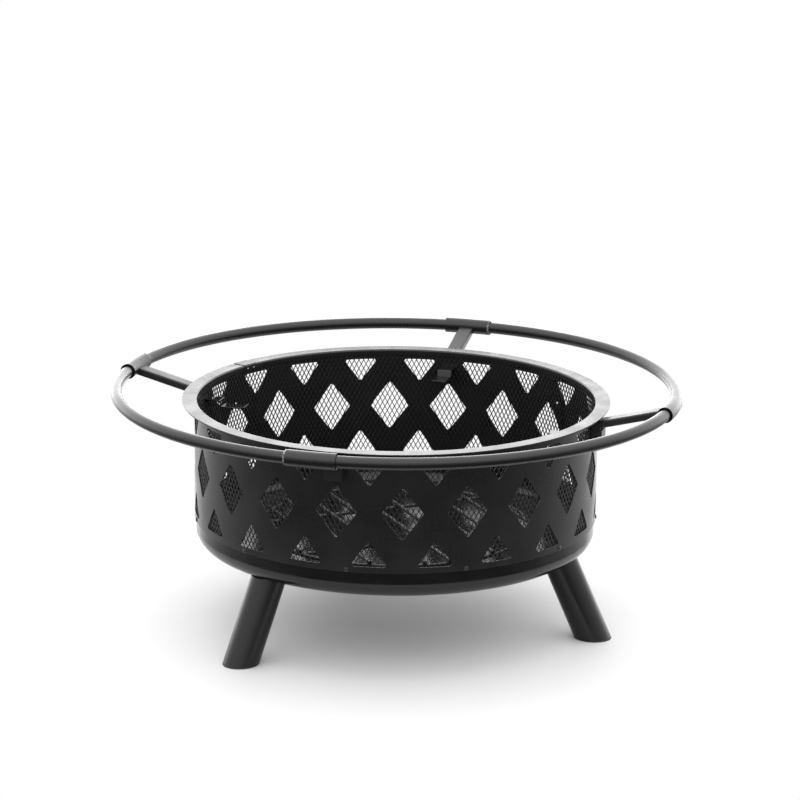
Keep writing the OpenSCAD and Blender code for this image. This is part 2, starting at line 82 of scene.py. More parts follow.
# %% Radii and heights from the frame
PIT, GRATE = "fire_pit", "wood_grate"
WALL_T, PAN_T, RIM_T, MESH_T = 1.5 * MM, 1.5 * MM, 2 * MM, 1.5 * MM
wall_low, wall_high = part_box("pierced_wall")
rim_low, rim_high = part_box("rim_ring")
mesh_low, mesh_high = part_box("mesh_liner")
pan_low, pan_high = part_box("base_pan")
tube_low, tube_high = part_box("ring_tube_back_right")
sleeve_low, sleeve_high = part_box("sleeve_right")
WALL_R = wall_high.x
RIM_R, RIM_TOP = rim_high.x, rim_high.z
MESH_R = WALL_R - WALL_T - MESH_T / 2
LEG_IN_R = WALL_R - WALL_T - MESH_T - RIM_T
PAN_R = WALL_R - WALL_T
TUBE_D = tube_high.z - tube_low.z
SLEEVE_D = sleeve_high.z - sleeve_low.z
RING_Z = (tube_high.z + tube_low.z) / 2
RING_R = sleeve_high.x - SLEEVE_D / 2
SLEEVE_ANGLE = 2 * math.asin(sleeve_high.y / sleeve_high.x)
print(f"wall radius {WALL_R:.4f} m, ring radius {RING_R:.4f} m, tube {TUBE_D / MM:.1f} mm")

# %% [markdown]
# ## From a bmesh to a piece of the model
# Each piece ends the same way: its bmesh becomes an object at the origin, it gets one finish, it is
# parented to an empty for the body that carries it, and the CAD nodes it stands for are hidden. Edges
# sharper than about 35 degrees stay sharp, and the rest is shaded smooth. A bevel modifier can then
# round the sharp edges, because paint never leaves a knife edge.

# %% Finish a piece
SHARP = math.radians(35)
FLAT = 0.001


def make_piece(name, bm, finish, nodes=(), body=PIT, bevel=0.0, outward=True):
    if outward:
        bmesh.ops.recalc_face_normals(bm, faces=bm.faces)
    mesh = bpy.data.meshes.new(name)
    bm.to_mesh(mesh)
    bm.free()
    piece = bpy.data.objects.new(name, mesh)
    bpy.context.scene.collection.objects.link(piece)
    mesh.materials.append(finish)
    mesh.shade_smooth()
    mesh.set_sharp_from_angle(angle=SHARP)
    if bevel:
        round_edges(piece, bevel)
    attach(piece, body)
    if nodes:
        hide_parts(*nodes)
    print(f"{name}: {len(mesh.polygons)} faces")
    return piece


def round_edges(piece, width, segments=2):
    rounded = piece.modifiers.new("rounded edges", "BEVEL")
    rounded.width = width
    rounded.segments = segments
    rounded.limit_method = "ANGLE"
    rounded.angle_limit = SHARP
    rounded.harden_normals = True


def even_normals(piece):
    """Lets the large flat faces decide the shading, so that a flat flange reflects as a flat flange."""
    weighted = piece.modifiers.new("even normals", "WEIGHTED_NORMAL")
    weighted.keep_sharp = True
    return piece


def thicken(piece, thickness, offset=-1.0):
    sheet = piece.modifiers.new("sheet thickness", "SOLIDIFY")
    sheet.thickness = thickness
    sheet.offset = offset
    sheet.use_even_offset = True


# %% [markdown]
# ## Three ways to make a body
# Most of this object is turned or rolled, so an outline is drawn in the XZ plane and spun round Z.
# Rods are a cylinder laid between two points. Small bent and cut parts are already right in the
# CAD, so a copy of the CAD mesh is merged, its flat faces are joined up, and a small bevel gives
# its edges the soft line that paint leaves.


# %% Outline, spin and rod
def everything(bm):
    return list(bm.verts) + list(bm.edges) + list(bm.faces)


def draw_outline(bm, points, closed=True):
    verts = [bm.verts.new((x, 0, z)) for x, z in points]
    for pair in zip(verts, verts[1:]):
        bm.edges.new(pair)
    if closed:
        bm.edges.new((verts[-1], verts[0]))
    return verts


def round_corners(bm, verts, radius, segments):
    bmesh.ops.bevel(bm, geom=verts, offset=radius, segments=segments, profile=0.5, affect="VERTICES",
                    material=-1)


def spin_round(bm, steps, angle=FULL, start=0.0, axis=Z_AXIS, centre=CENTRE):
    bmesh.ops.rotate(bm, verts=bm.verts, cent=centre, matrix=Matrix.Rotation(start, 3, axis))
    bmesh.ops.spin(bm, geom=everything(bm), cent=centre, axis=axis, angle=angle, steps=steps,
                   use_merge=angle == FULL)
    bmesh.ops.remove_doubles(bm, verts=bm.verts, dist=CLOSE)


def polar(radius, angle, z=0.0):
    return Vector((radius * math.cos(angle), radius * math.sin(angle), z))


def frame_at(place, along):
    """A matrix that puts +Z along a direction, at a place."""
    return Matrix.Translation(place) @ Vector(along).to_track_quat("Z", "Y").to_matrix().to_4x4()


def add_rod(bm, start, end, diameter, sides=16, caps=True):
    start, end = Vector(start), Vector(end)
    return bmesh.ops.create_cone(bm, cap_ends=caps, segments=sides, radius1=diameter / 2,
                                 radius2=diameter / 2, depth=(end - start).length,
                                 matrix=frame_at((start + end) / 2, end - start))["verts"]


# %% Soft-edged copy of a CAD node
def soften(node, finish, width=0.35 * MM, body=PIT):
    bm = bmesh.new()
    bm.from_mesh(frame["nodes"][node].data)
    bmesh.ops.remove_doubles(bm, verts=bm.verts, dist=CLOSE)
    bmesh.ops.dissolve_limit(bm, angle_limit=math.radians(1), verts=bm.verts, edges=bm.edges)
    return make_piece(node + "_painted", bm, finish, [node], body, bevel=width, outward=False)


# %% [markdown]
# ## Colours and nodes
# Colours are written as the sRGB hex values a paint maker would give and turned to linear light by
# one function. One more function adds a shader node, sets its values and links its inputs.


# %% Colour and node helpers
def linear(code):
    parts = [int(code[i:i + 2], 16) / 255 for i in (1, 3, 5)]
    return (*[c / 12.92 if c <= 0.04045 else ((c + 0.055) / 1.055) ** 2.4 for c in parts], 1)


def add_node(tree, kind, settings=None, inputs=None):
    node = tree.nodes.new(kind)
    for key, value in (settings or {}).items():
        setattr(node, key, value)
    for key, value in (inputs or {}).items():
        if isinstance(value, bpy.types.NodeSocket):
            tree.links.new(value, node.inputs[key])
        else:
            node.inputs[key].default_value = value
    return node


def new_material(name):
    material = bpy.data.materials.new(name)
    material.use_nodes = True
    material.node_tree.nodes.clear()
    return material, material.node_tree


# %% [markdown]
# ## Stove paint on steel
# The pit is sprayed with heat-resistant silicone paint and baked. It dries to a semi-gloss black
# with a faint orange peel, a little cloudiness in its gloss, and paler dust where it was handled.
# A plain black Principled shader would look like plastic, so the roughness carries a cloud of a
# few centimetres and the surface a bump with the 2 mm grain of sprayed paint. Both are real sizes;
# the grain is drawn about twice as coarse as real paint so that it can show.


# %% Paint recipe
CLOUD = 60 * MM
PAINT_GRAIN, FINE_GRAIN = 2.4 * MM, 1.2 * MM
PEEL_DEPTH = 0.12 * MM
PAINT_IOR, SILICONE_IOR, POLYTHENE_IOR = 1.45, 1.42, 1.5


def stove_paint(name, tint, dust_and_painted_highlight, roughness, peel=0.35, grain=PAINT_GRAIN, ior=PAINT_IOR):
    """Black paint: tint is its colour, the second colour that of the paler specks in it, which are dust
    on most parts and painted highlights on the weld beads; peel is the depth of its grain.
    """
    material, tree = new_material(name)
    place = add_node(tree, "ShaderNodeTexCoord").outputs["Object"]
    cloud = add_node(tree, "ShaderNodeTexNoise", inputs={
        "Vector": place, "Scale": 1 / CLOUD, "Detail": 4.0, "Roughness": 0.6})
    speck = add_node(tree, "ShaderNodeTexNoise", inputs={
        "Vector": place, "Scale": 1 / grain, "Detail": 3.0, "Roughness": 0.55})
    gloss = add_node(tree, "ShaderNodeMapRange", inputs={
        "Value": cloud.outputs["Fac"], "From Min": 0.35, "From Max": 0.65,
        "To Min": roughness - 0.05, "To Max": roughness + 0.06})
    amount = add_node(tree, "ShaderNodeMapRange", inputs={
        "Value": speck.outputs["Fac"], "From Min": 0.45, "From Max": 0.8, "To Min": 0.0, "To Max": 0.5})
    colour = add_node(tree, "ShaderNodeMix", {"data_type": "RGBA"})
    colour.inputs["A"].default_value = linear(tint)
    colour.inputs["B"].default_value = linear(dust_and_painted_highlight)
    tree.links.new(amount.outputs["Result"], colour.inputs["Factor"])
    bump = add_node(tree, "ShaderNodeBump", inputs={
        "Height": speck.outputs["Fac"], "Strength": peel, "Distance": PEEL_DEPTH})
    shader = add_node(tree, "ShaderNodeBsdfPrincipled", inputs={
        "Base Color": colour.outputs["Result"], "Roughness": gloss.outputs["Result"],
        "Normal": bump.outputs["Normal"], "IOR": ior})
    add_node(tree, "ShaderNodeOutputMaterial", inputs={"Surface": shader.outputs["BSDF"]})
    return material


# %% [markdown]
# Each kind of part gets its own mix of the same paint. Sheet is a little rougher than tube, the
# pan, the legs and the tabs are glossier still, and the sleeves' weld beads are pale grey with nearly
# white specks, which are painted highlights on their ripples.

# %% The paints, one for each kind of part
wall_paint = stove_paint("stove_paint_on_sheet", "#141414", "#262626", 0.30)
rim_paint = stove_paint("stove_paint_on_rim", "#181818", "#2c2c2c", 0.28)
tube_paint = stove_paint("stove_paint_on_tube", "#161616", "#2a2a2a", 0.26)
arm_paint = stove_paint("stove_paint_on_arm", "#1c1c1c", "#343434", 0.34)
pan_paint = stove_paint("stove_paint_on_pan", "#0e0e0e", "#1e1e1e", 0.15, peel=0.1, ior=SILICONE_IOR)
leg_paint = stove_paint("stove_paint_on_leg", "#080808", "#141414", 0.2, ior=SILICONE_IOR)
mesh_paint = stove_paint("stove_paint_on_mesh", "#161616", "#222222", 0.44, grain=FINE_GRAIN,
                         ior=SILICONE_IOR)
weld_paint = stove_paint("stove_paint_on_weld", "#202020", "#484848", 0.22, peel=0.6)
# The weld beads' pale grey and their nearly white specks are painted highlights on the weld's ripples.
bead_paint = stove_paint("stove_paint_with_painted_highlights_on_weld_bead", "#484848", "#d0d0d0", 0.18, peel=0.8)
tab_paint = stove_paint("gloss_paint_on_tab", "#0c0c0c", "#1a1a1a", 0.1, peel=0.3)
rod_paint = stove_paint("stove_paint_on_rod", "#1a1a1a", "#333333", 0.36, grain=FINE_GRAIN)
print(len(bpy.data.materials), "materials")

# %% [markdown]
# ## Bolts, screws and foot caps
# The bolts are black oxide under the paint, a little rougher and browner. The two rivets and the
# mesh screw are zinc plated: a metal, so metallic is 1 and the roughness does the work. The foot
# caps are moulded polythene, which is duller than the paint beside it.


# %% Zinc and polythene
ZINC_GRAIN = 3 * MM


def zinc_plate():
    material, tree = new_material("zinc_plate")
    place = add_node(tree, "ShaderNodeTexCoord").outputs["Object"]
    cloud = add_node(tree, "ShaderNodeTexNoise", inputs={
        "Vector": place, "Scale": 1 / ZINC_GRAIN, "Detail": 3.0})
    gloss = add_node(tree, "ShaderNodeMapRange", inputs={
        "Value": cloud.outputs["Fac"], "To Min": 0.28, "To Max": 0.5})
    tint = add_node(tree, "ShaderNodeValToRGB", inputs={"Fac": cloud.outputs["Fac"]})
    tint.color_ramp.elements[0].color = linear("#8a8c8e")
    tint.color_ramp.elements[1].color = linear("#b9bbbd")
    shader = add_node(tree, "ShaderNodeBsdfPrincipled", inputs={
        "Base Color": tint.outputs["Color"], "Roughness": gloss.outputs["Result"], "Metallic": 1.0})
    add_node(tree, "ShaderNodeOutputMaterial", inputs={"Surface": shader.outputs["BSDF"]})
    return material


zinc = zinc_plate()
OXIDE_GRAIN = 1 * MM
bolt_paint = stove_paint("black_oxide_on_bolt", "#1d1b1a", "#383532", 0.38, grain=OXIDE_GRAIN)
polythene = stove_paint("moulded_polythene", "#0f0f0f", "#1c1c1c", 0.5, peel=0.2, grain=OXIDE_GRAIN,
                        ior=POLYTHENE_IOR)
print(zinc.name, bolt_paint.name, polythene.name)

# %% [markdown]
# ## The pierced wall
# On the real pit a flat strip of 1.5 mm sheet is punched with diamonds and triangles, rolled into
# a hoop and closed. The same order works here. A flat curve with holes is the punched strip for one
# diamond: its fill makes the sheet and its bevel breaks the sharp edges. It is cut into narrow
# strips so that it can bend, rolled to the wall's radius and copied round. Cutting holes in a
# ready-made cylinder with booleans would leave ragged shading.

# %% Sizes of the punched pattern
DIAMONDS = 20
DIAMOND_W, TRIANGLE_W, CORNER_R = 65 * MM, 58.4 * MM, 3.5 * MM
UPPER_H, UPPER_DROP = 38.4 * MM, 17.2 * MM
LOWER_H, LOWER_MARGIN = 41.6 * MM, 10 * MM
EDGE_ROUND = 0.3 * MM
STRIPS_PER_PITCH = 12
DIAMOND_RAISE, DIAMOND_SHORT = 0.2 * MM, 0.2 * MM
UPPER_TIP = RIM_TOP - UPPER_DROP - UPPER_H
LOWER_TIP = wall_low.z + LOWER_MARGIN + LOWER_H
DIAMOND_Z = (UPPER_TIP + LOWER_TIP) / 2 + DIAMOND_RAISE
DIAMOND_H = UPPER_TIP - LOWER_TIP - DIAMOND_SHORT
WALL_MID_R = WALL_R - WALL_T / 2
PITCH = FULL * WALL_MID_R / DIAMONDS
FOLDS = [PITCH * (i / STRIPS_PER_PITCH - 0.5) for i in range(STRIPS_PER_PITCH + 1)]
print(f"a diamond every {PITCH / MM:.1f} mm, {DIAMOND_H / MM:.1f} mm high")


# %% Outlines with rounded corners
def rounded_outline(corners, radius=CORNER_R, steps=5):
    """A convex outline, anticlockwise, with an arc at each corner that touches both of its sides."""
    points = []
    for i, here in enumerate(corners):
        before, after = corners[i - 1], corners[(i + 1) % len(corners)]
        first = math.atan2(before.x - here.x, here.y - before.y)
        swing = (math.atan2(here.x - after.x, after.y - here.y) - first) % FULL
        middle = first + swing / 2
        centre = here - Vector((math.cos(middle), math.sin(middle))) * radius / math.cos(swing / 2)
        for k in range(steps + 1):
            turn = first + swing * k / steps
            points.append(centre + Vector((math.cos(turn), math.sin(turn))) * radius)
    return points


def diamond_outline(x):
    a, b = DIAMOND_W / 2, DIAMOND_H / 2
    corners = [(x + a, DIAMOND_Z), (x, DIAMOND_Z + b), (x - a, DIAMOND_Z), (x, DIAMOND_Z - b)]
    return rounded_outline([Vector(c) for c in corners])


def triangle_outline(x, base, tip):
    half = math.copysign(TRIANGLE_W / 2, tip - base)
    return rounded_outline([Vector(c) for c in ((x - half, base), (x + half, base), (x, tip))])


# %% Punched strip for one diamond and the triangles on both sides of it
def punched_strip():
    """The triangles lie on the two ends of a pitch, so a strip wider than that is made."""
    x0, x1 = -0.85 * PITCH, 0.85 * PITCH
    sheet = [(x0, wall_low.z), (x1, wall_low.z), (x1, wall_high.z), (x0, wall_high.z)]
    outlines = [[Vector(c) for c in sheet], diamond_outline(0)]
    for x in (-PITCH / 2, PITCH / 2):
        outlines.append(triangle_outline(x, wall_low.z + LOWER_MARGIN, LOWER_TIP))
        outlines.append(triangle_outline(x, RIM_TOP - UPPER_DROP, UPPER_TIP))
    curve = bpy.data.curves.new("punched strip", "CURVE")
    curve.dimensions = "2D"
    curve.fill_mode = "BOTH"
    curve.extrude = WALL_T / 2 - EDGE_ROUND
    curve.bevel_depth = EDGE_ROUND
    curve.bevel_resolution = 0
    curve.offset = -EDGE_ROUND
    for outline in outlines:
        spline = curve.splines.new("POLY")
        spline.points.add(len(outline) - 1)
        spline.use_cyclic_u = True
        for point, place in zip(spline.points, outline):
            point.co = (place.x, place.y, 0, 1)
    holder = bpy.data.objects.new("punched strip", curve)
    bpy.context.scene.collection.objects.link(holder)
    depsgraph = bpy.context.evaluated_depsgraph_get()
    mesh = bpy.data.meshes.new_from_object(holder.evaluated_get(depsgraph))
    bm = bmesh.new()
    bm.from_mesh(mesh)
    bpy.data.objects.remove(holder)
    bpy.data.curves.remove(curve)
    bpy.data.meshes.remove(mesh)
    bmesh.ops.remove_doubles(bm, verts=bm.verts, dist=HAIR)
    return bm


# %% [markdown]
# The strip is cut across at even steps, and the fill's stray edges between the cuts are dissolved,
# so that only fold lines and outlines are left. Then it is bent to the wall's radius.

# %% Cut, roll and repeat a strip
def fold_lines(bm, places):
    """Cuts across the strip at each place, and drops what lies beyond the first and the last."""
    for x in places:
        side = -1 if x == places[0] else 1
        bmesh.ops.bisect_plane(bm, geom=everything(bm), dist=HAIR, plane_co=(x, 0, 0),
                               plane_no=(side, 0, 0), clear_outer=x in (places[0], places[-1]))


def join_flat_faces(bm, places):
    """Removes the fill's own edges, and keeps the fold lines and the outlines."""
    def is_fold(edge):
        a, b = edge.verts
        return any(abs(a.co.x - x) + abs(b.co.x - x) < 4 * HAIR for x in places)

    inner = [e for e in bm.edges if len(e.link_faces) == 2]
    spare = [e for e in inner if e.calc_face_angle() < FLAT and not is_fold(e)]
    bmesh.ops.dissolve_edges(bm, edges=spare, use_verts=True)


def roll(bm, radius):
    """Bends a strip in the XY plane round Z: x becomes an angle, y a height and z a depth."""
    for v in bm.verts:
        v.co = polar(radius + v.co.z, v.co.x / radius, v.co.y)


def repeat_round(bm, count):
    bmesh.ops.spin(bm, geom=everything(bm), cent=CENTRE, axis=Z_AXIS,
                   angle=FULL * (count - 1) / count, steps=count - 1, use_duplicate=True)
    bmesh.ops.remove_doubles(bm, verts=bm.verts, dist=SEAM)


def point_outwards(piece):
    """Gives the rolled faces the exact normals of a cylinder, so that reflections run smoothly."""
    mesh = piece.data
    normals = [Vector((0, 0, 0))] * len(mesh.loops)
    for face in mesh.polygons:
        outwards = Vector((face.center.x, face.center.y, 0)).normalized()
        if abs(face.normal.dot(outwards)) > 0.99:
            side = math.copysign(1, face.normal.dot(outwards))
            for i in face.loop_indices:
                place = mesh.vertices[mesh.loops[i].vertex_index].co
                normals[i] = Vector((place.x, place.y, 0)).normalized() * side
    mesh.normals_split_custom_set(normals)


# %% The rolled wall
bm = punched_strip()
fold_lines(bm, FOLDS)
join_flat_faces(bm, FOLDS)
roll(bm, WALL_MID_R)
repeat_round(bm, DIAMONDS)
open_edges = sum(len(e.link_faces) != 2 for e in bm.edges)
wall = make_piece("punched_wall", bm, wall_paint, ["pierced_wall"])
point_outwards(wall)
print("open edges in the wall:", open_edges)

# %% [markdown]
# ## Rim
# The rim is a rolled angle: a flat flange that stands out over the wall and a short leg inside the
# mesh, with a round bend between them. Its section is one outline with its corners bevelled, and a
# full spin makes the ring. Where the strip's ends overlap, a thin lap shows with two rivets on its
# inner face.

# %% Rim and lap
RIM_STEPS = 180
BEND_OUT, BEND_IN = 3 * MM, 1 * MM


def rim_section(bm, inner_r, top, thickness):
    leg_z, mid_r = rim_low.z, inner_r + thickness
    corners = [(RIM_R, top), (inner_r, top), (inner_r, leg_z), (mid_r, leg_z), (mid_r, top - thickness),
               (RIM_R, top - thickness)]
    verts = draw_outline(bm, corners)
    ends = [verts[i] for i in (0, 2, 3, 5)]
    round_corners(bm, [verts[1]], BEND_OUT, 6)
    inner_corner = Vector((mid_r, 0, top - thickness))
    round_corners(bm, [v for v in bm.verts if (v.co - inner_corner).length < CLOSE], BEND_IN, 3)
    round_corners(bm, [v for v in ends if v.is_valid], 0.3 * thickness, 2)


bm = bmesh.new()
rim_section(bm, LEG_IN_R, RIM_TOP, RIM_T)
spin_round(bm, RIM_STEPS)
even_normals(make_piece("rolled_rim", bm, rim_paint, ["rim_ring"]))

lap_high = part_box("rim_lap")[1]
LAP_T = lap_high.z - RIM_TOP
lap_verts = frame["nodes"]["rim_lap"].data.vertices
LAP_ANGLES = [math.atan2(v.co.y, v.co.x) for v in lap_verts]
bm = bmesh.new()
rim_section(bm, LEG_IN_R - LAP_T, RIM_TOP + LAP_T, LAP_T)
LAP_FIRST, LAP_LAST = min(LAP_ANGLES), max(LAP_ANGLES)
spin_round(bm, 8, angle=LAP_LAST - LAP_FIRST, start=LAP_FIRST)
bmesh.ops.holes_fill(bm, edges=[e for e in bm.edges if e.is_boundary])
even_normals(make_piece("rim_overlap", bm, rim_paint, ["rim_lap"]))

# %% [markdown]
# ## Mesh liner
# The liner is expanded steel: a sheet is slit and pulled open, so each strand is a little twisted
# and the holes are diamonds. One hole's frame is a four-sided circle, inset and emptied. It is
# copied up one column, the column is copied round, and a Solidify modifier gives the strands their
# thickness. A picture of a mesh on a plain cylinder would never show light through the holes.

# %% Expanded mesh
STRAND = 0.62 * MM
STRAND_T, PATCH_T = 1.2 * MM, 1.0 * MM
HOLE_W, HOLES_UP = 8.2 * MM, 12
TWIST = 0.12 * MM
HOLE_H = (mesh_high.z - mesh_low.z) / HOLES_UP


def mesh_cell(bm, x, y, width):
    """Four strands round one hole, drawn flat. The hole's upper and lower corners are pulled apart."""
    ring = bmesh.ops.create_circle(bm, segments=4, radius=0.5, cap_ends=True)["verts"]
    bmesh.ops.scale(bm, verts=ring, vec=(width, HOLE_H, 1))
    bmesh.ops.translate(bm, verts=ring, vec=(x, y, 0))
    face = ring[0].link_faces[0]
    bmesh.ops.inset_individual(bm, faces=[face], thickness=STRAND, use_even_offset=True)
    for v in face.verts:
        if abs(v.co.x - x) < CLOSE:
            v.co.z += math.copysign(TWIST, y - v.co.y)
    bmesh.ops.delete(bm, geom=[face], context="FACES_ONLY")


def mesh_columns(bm, radius, width, rows=HOLES_UP):
    """Two columns of holes, one of them half a hole up, rolled on to the liner's radius."""
    for row in range(rows):
        low = mesh_low.z + row * HOLE_H
        mesh_cell(bm, 0, low + HOLE_H / 2, width)
        if row:
            mesh_cell(bm, width / 2, low, width)
    bmesh.ops.remove_doubles(bm, verts=bm.verts, dist=CLOSE)
    roll(bm, radius)


columns = round(FULL * MESH_R / HOLE_W)
bm = bmesh.new()
mesh_columns(bm, MESH_R, FULL * MESH_R / columns)
repeat_round(bm, columns)
liner = make_piece("expanded_mesh", bm, mesh_paint, ["mesh_liner"], outward=False)
thicken(liner, STRAND_T, offset=0.0)
print(columns, "columns of holes,", round(HOLE_H / MM, 1), "mm high")

# %% [markdown]
# The liner's strip ends overlap a few centimetres, and the upper layer was cut with shears, so its
# end runs at a slant. The overlap is a second patch of the same cells, a little further in.

# %% Overlap of the mesh
screw_low, screw_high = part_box("mesh_screw")
SCREW = (screw_low + screw_high) / 2
SCREW_ANGLE = math.atan2(SCREW.y, SCREW.x)
PATCH_START, PATCH_END = math.radians(46), math.radians(58)
PATCH_NUDGE = 0.009
PATCH_R = MESH_R - 1.6 * MM
CUT_TOP = polar(PATCH_R, math.radians(56.5), 0.367)
CUT_LOW = polar(PATCH_R, math.radians(47.5), 0.29)

bm = bmesh.new()
mesh_columns(bm, PATCH_R, FULL * PATCH_R / columns)
patch_columns = round((PATCH_END - PATCH_START) / FULL * columns)
bmesh.ops.rotate(bm, verts=bm.verts, cent=CENTRE,
                 matrix=Matrix.Rotation(PATCH_START + PATCH_NUDGE, 3, "Z"))
bmesh.ops.spin(bm, geom=everything(bm), cent=CENTRE, axis=Z_AXIS,
               angle=patch_columns * FULL / columns, steps=patch_columns, use_duplicate=True)
bmesh.ops.remove_doubles(bm, verts=bm.verts, dist=SEAM)
slant = (CUT_TOP - CUT_LOW).cross(polar(1, (PATCH_START + PATCH_END) / 2))
if slant.dot(polar(1, PATCH_END) - polar(1, PATCH_START)) < 0:
    slant.negate()
bmesh.ops.bisect_plane(bm, geom=everything(bm), dist=HAIR, plane_co=CUT_LOW, plane_no=slant,
                       clear_outer=True)
patch = make_piece("mesh_overlap", bm, mesh_paint, outward=False)
thicken(patch, PATCH_T, offset=0.0)

# %% [markdown]
# ## Base pan
# The pan is pressed from one sheet: a collar bolted inside the wall, a rounded shoulder and a
# shallow dish. One open outline is spun, and Solidify gives the sheet its thickness towards the
# inside. Rolling the band by machine leaves it slightly uneven, so its radius wanders by a few
# tenths of a millimetre round the pit.

# %% Pan with an uneven band
SHOULDER_R = 25 * MM
PAN_STEPS = 240
BAND_WANDER = 0.45 * MM
DISH_EDGE_R = PAN_R - SHOULDER_R
DISH_H = 20 * MM
DISH_LOW = pan_low.z
DISH_R = (DISH_EDGE_R ** 2 + DISH_H ** 2) / (2 * DISH_H)
SHOULDER_Z = DISH_LOW + DISH_H + SHOULDER_R


def dish_z(radius):
    """Height of the dish's underside at a radius."""
    return DISH_LOW + DISH_R - math.sqrt(DISH_R ** 2 - radius ** 2)


def pan_outline():
    points = [(PAN_R, pan_high.z - (pan_high.z - SHOULDER_Z) * i / 4) for i in range(5)]
    for i in range(1, 9):
        turn = math.pi / 2 * i / 8
        points.append((DISH_EDGE_R + SHOULDER_R * math.cos(turn),
                       SHOULDER_Z - SHOULDER_R * math.sin(turn)))
    return points + [(DISH_EDGE_R * i / 12, dish_z(DISH_EDGE_R * i / 12)) for i in range(11, -1, -1)]


bm = bmesh.new()
draw_outline(bm, pan_outline(), closed=False)
spin_round(bm, PAN_STEPS)
for v in bm.verts:
    if v.co.z < wall_low.z - MM and v.co.xy.length > DISH_EDGE_R + 10 * MM:
        angle = math.atan2(v.co.y, v.co.x)
        ripple = noise.noise(polar(9, angle)) + 0.5 * noise.noise(polar(22, angle))
        v.co += polar(BAND_WANDER * ripple, angle)
pan = make_piece("pressed_pan", bm, pan_paint, ["base_pan"])
thicken(pan, PAN_T)

# %% [markdown]
# ## Guard ring
# Four bent tubes meet inside four sleeves. Each sleeve is welded to one of its tubes; at the other
# end the tube slides in, so a dark gap shows there. A circle spun through part of a turn is a bent
# tube, Solidify gives it a wall and a bevel rounds the sleeve's lip.

# %% Tubes and sleeves
ARMS = {"front": -0.25, "right": 0.0, "back": 0.25, "left": 0.5}
WELD_SIDE = {"front": -1, "right": 1, "back": -1, "left": -1}
SLEEVE_T = 1.75 * MM
TUBE_T = 1.5 * MM


def bent_tube(diameter, start, end, steps, sides=32):
    bm = bmesh.new()
    upright = Matrix.Translation((RING_R, 0, RING_Z)) @ Matrix.Rotation(math.pi / 2, 4, "X")
    bmesh.ops.create_circle(bm, segments=sides, radius=diameter / 2, matrix=upright)
    spin_round(bm, steps, angle=end - start, start=start)
    return bm


def node_angles(node, reference):
    """First and last angle of a node, measured near a reference angle."""
    turns = [math.atan2(v.co.y, v.co.x) - reference for v in frame["nodes"][node].data.vertices]
    turns = [(t + math.pi) % FULL - math.pi for t in turns]
    return reference + min(turns), reference + max(turns)


for name, middle in {"front_right": -0.125, "back_right": 0.125, "back_left": 0.375,
                     "front_left": 0.625}.items():
    first, last = node_angles("ring_tube_" + name, middle * FULL)
    tube = make_piece("bent_tube_" + name, bent_tube(TUBE_D, first, last, 60), tube_paint,
                      ["ring_tube_" + name])
    thicken(tube, TUBE_T)

for name, turn in ARMS.items():
    half = SLEEVE_ANGLE / 2
    bm = bent_tube(SLEEVE_D, turn * FULL - half, turn * FULL + half, 12, sides=40)
    sleeve = make_piece("joint_sleeve_" + name, bm, tube_paint, ["sleeve_" + name])
    thicken(sleeve, SLEEVE_T)
    round_edges(sleeve, 0.6 * MM)
print(f"sleeve covers {math.degrees(SLEEVE_ANGLE):.2f} degrees")

# %% [markdown]
# ## Weld beads
# A weld is a row of frozen ripples. Each bead starts as a small circle spun round the tube or laid
# along a joint, and noise pushes its surface in and out.

# %% Weld beads
BEAD, BEAD_UP, BEAD_SQUASH = 4.2 * MM, 1.2 * MM, 0.75
FILLET, FILLET_STEP = 2.6 * MM, 0.9 * MM


def lumpy(verts, seed, amount, size):
    """Pushes points about by up to an amount, with lumps of about a size."""
    for v in verts:
        shift = noise.noise_vector(v.co / size + Vector((seed, 0, 0)))
        v.co += shift * amount


def join(bm, other):
    """Adds one bmesh to another and frees it."""
    mesh = bpy.data.meshes.new("joined")
    other.to_mesh(mesh)
    other.free()
    bm.from_mesh(mesh)
    bpy.data.meshes.remove(mesh)


def bead_round_tube(bm, angle, seed):
    """A ring of weld round the guard ring's tube, at an angle round the pit."""
    ring = bmesh.new()
    radius = TUBE_D / 2 + BEAD_UP
    upright = Matrix.Translation((RING_R, 0, RING_Z + radius)) @ Matrix.Rotation(math.pi / 2, 4, "Y")
    bmesh.ops.create_circle(ring, segments=10, radius=BEAD / 2, matrix=upright)
    about = Matrix.Translation((-RING_R, 0, -RING_Z - radius))
    bmesh.ops.scale(ring, verts=ring.verts, vec=(1, 1, BEAD_SQUASH), space=about)
    spin_round(ring, 56, axis=(0, 1, 0), centre=(RING_R, 0, RING_Z))
    bmesh.ops.rotate(ring, verts=ring.verts, cent=CENTRE, matrix=Matrix.Rotation(angle, 3, "Z"))
    lumpy(ring.verts, seed, 1.3 * MM, 3 * MM)
    join(bm, ring)


def bead_between(bm, start, end, diameter, seed):
    """A straight bead, made of short rings so that it can ripple."""
    line = bmesh.new()
    length = (end - start).length
    rings = max(4, round(length / FILLET_STEP))
    add_rod(line, start, end, diameter, sides=8)
    along = [e for e in line.edges if e.calc_length() > 0.8 * length]
    bmesh.ops.subdivide_edges(line, edges=along, cuts=rings, use_grid_fill=True)
    lumpy(line.verts, seed, diameter * 0.22, diameter * 0.8)
    join(bm, line)


bm = bmesh.new()
for seed, (name, side) in enumerate(WELD_SIDE.items()):
    low, high = SLEEVE_ANGLE / 2, SLEEVE_ANGLE / 2 + 0.5 * BEAD / RING_R
    bead_round_tube(bm, ARMS[name] * FULL + side * (low + high) / 2, 7.3 * seed)
# The beads' paint is pale grey with nearly white specks, which are painted highlights on their ripples.
make_piece("sleeve_weld_beads", bm, bead_paint, ["sleeve_welds"])

# %% [markdown]
# ## Arms, brackets and grate tabs
# These are flat tube and bent strip. The CAD shapes are exact, so they only need soft edges. The
# arms get a thin fillet of weld where they meet the wall and the sleeve.

